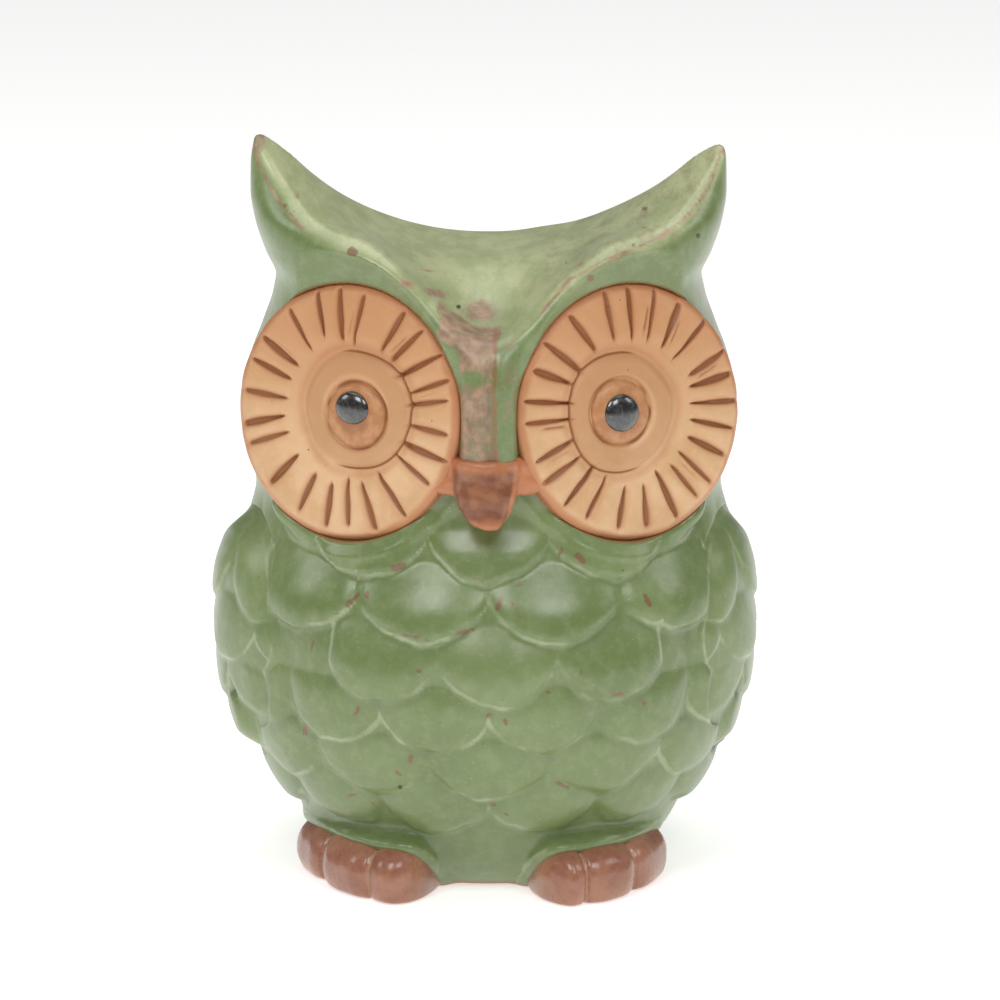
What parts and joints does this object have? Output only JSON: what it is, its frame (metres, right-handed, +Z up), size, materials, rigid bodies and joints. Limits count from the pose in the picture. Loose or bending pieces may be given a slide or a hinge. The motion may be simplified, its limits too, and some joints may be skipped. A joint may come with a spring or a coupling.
{
  "type": "figural animal coin bank",
  "caption": "Hollow ceramic owl money box with round eye discs, scaled feather relief, a coin slot in the back of the head and a pull-out stopper in the base.",
  "frame": {"origin": "on the surface that the bank stands on, under the middle of the whole owl, beak to back; the round base's own centre is 2.1 mm behind it", "axes": "+Z up from the base to the ears; the owl faces -Y; +X is to the right of someone looking at its face"},
  "size_m": [0.1176, 0.1049, 0.1588],
  "materials": {
    "green_glaze": "satin celadon green glaze with iron-brown specks, breaking pale on edges",
    "buff_clay": "satin buff terracotta with darker grooves",
    "brown_clay": "glossy red-brown glaze",
    "black_glaze": "glossy black",
    "stopper_rubber": "matte off-white soft rubber"
  },
  "bodies": {
    "shell": {"body_shell": "green_glaze", "left_eye_disc": "buff_clay", "right_eye_disc": "buff_clay", "left_iris": "buff_clay", "right_iris": "buff_clay", "left_pupil": "black_glaze", "right_pupil": "black_glaze", "beak": "brown_clay", "left_wing": "green_glaze", "right_wing": "green_glaze", "left_foot": "brown_clay", "right_foot": "brown_clay"},
    "stopper": {"base_stopper": "stopper_rubber"}
  },
  "joints": [
    {"name": "stopper_pull", "type": "slide", "parent": "shell", "child": "stopper", "axis": [0, 0, -1], "range_m": [0, 0.03]}
  ]
}
